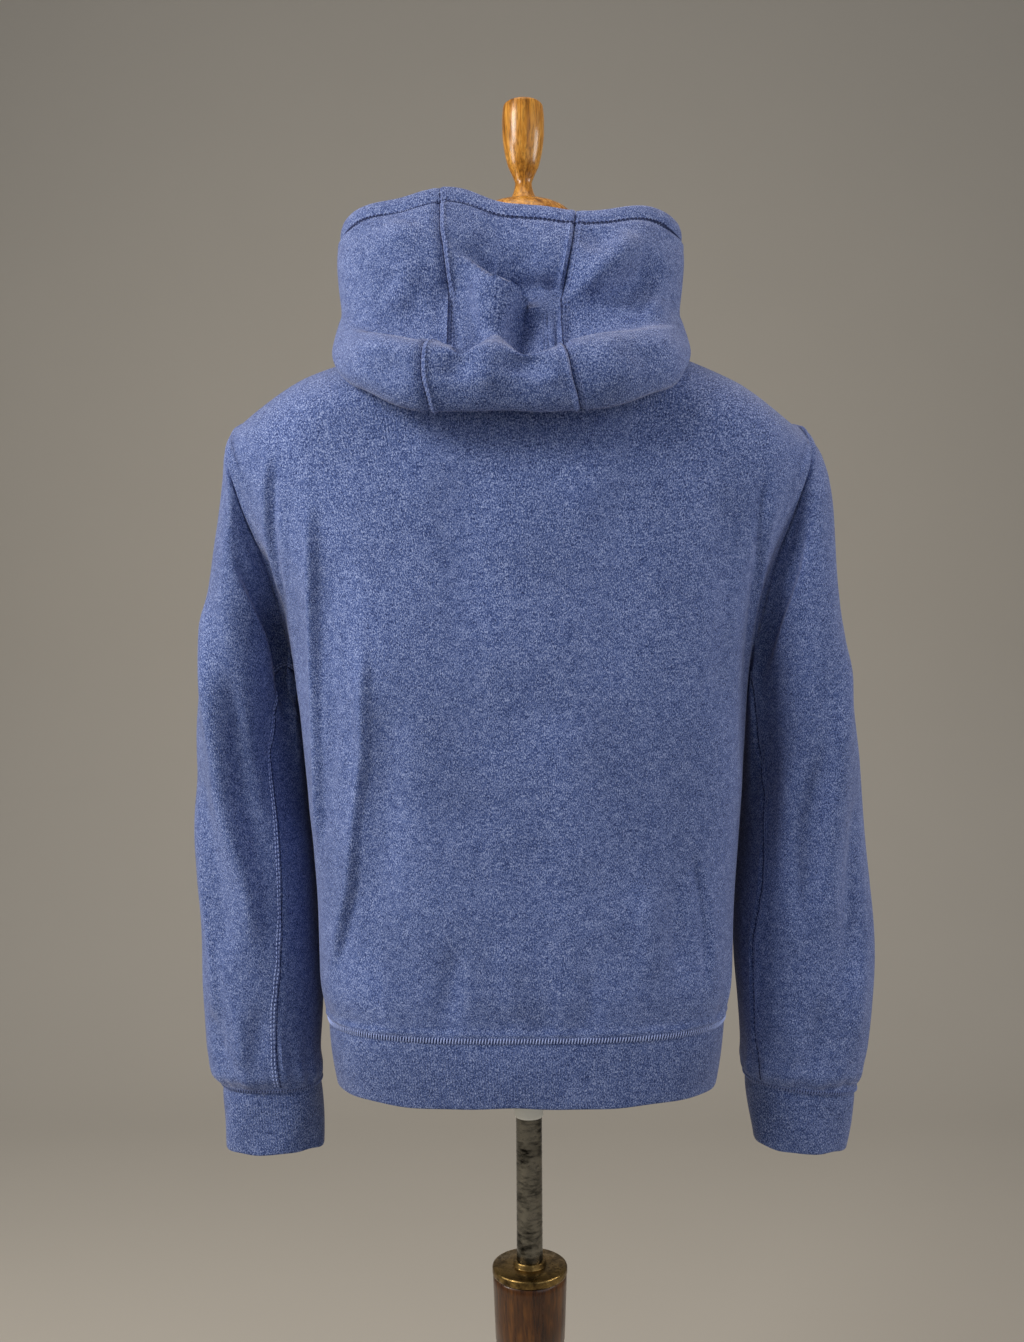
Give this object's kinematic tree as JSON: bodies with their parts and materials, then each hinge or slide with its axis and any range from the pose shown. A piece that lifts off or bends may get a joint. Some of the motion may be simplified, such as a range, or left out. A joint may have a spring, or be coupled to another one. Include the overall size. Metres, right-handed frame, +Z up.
{
  "type": "zip-up hoodie on a limbless dress form",
  "caption": "Zip-up hooded sweatshirt, closed, hood down, on a smooth limbless dress form with a turned finial, carried by a pole that slides and turns in a turned column on a round base.",
  "frame": {"origin": "on the floor, under the middle of the base plate", "axes": "+Z up along the pole, garment's front towards -Y, its left side towards +X"},
  "size_m": [0.6278, 0.384, 1.686],
  "materials": {
    "fleece": "matte",
    "folded knit": "matte",
    "zip tape": "matte",
    "zip metal": "satin",
    "pole chrome": "polished",
    "cap plate": "satin",
    "column wood": "gloss",
    "amber wood": "gloss",
    "form cover": "matte",
    "socket plastic": "satin"
  },
  "bodies": {
    "stand": {"base_plate": "column wood", "column": "column wood", "column_cap": "cap plate"},
    "lift": {"pole": "pole chrome"},
    "form": {"pole_socket": "socket plastic", "torso_form": "form cover", "neck_cap": "amber wood", "finial": "amber wood", "back_panel": "fleece", "front_left": "fleece", "front_right": "fleece", "sleeve_left": "fleece", "sleeve_right": "fleece", "hood_left": "fleece", "hood_centre": "fleece", "hood_right": "fleece", "cuff_left": "folded knit", "cuff_right": "folded knit", "hem_band": "folded knit", "zip_tape_left": "zip tape", "zip_tape_right": "zip tape", "zip_chain": "zip metal", "zip_slider": "zip metal"},
    "pull_tab": {"zip_pull": "zip metal"}
  },
  "joints": [
    {"name": "height_slide", "type": "slide", "parent": "stand", "child": "lift", "axis": [0, 0, 1], "range_m": [-0.11, 0.2]},
    {"name": "form_turn", "type": "hinge", "parent": "lift", "child": "form", "pos_m": [0, 0, 0.79], "axis": [0, 0, 1], "continuous": true},
    {"name": "pull_tab_swing", "type": "hinge", "parent": "form", "child": "pull_tab", "pos_m": [0, -0.12848, 1.365], "axis": [-1, 0, 0], "range_deg": [0, 140]}
  ]
}
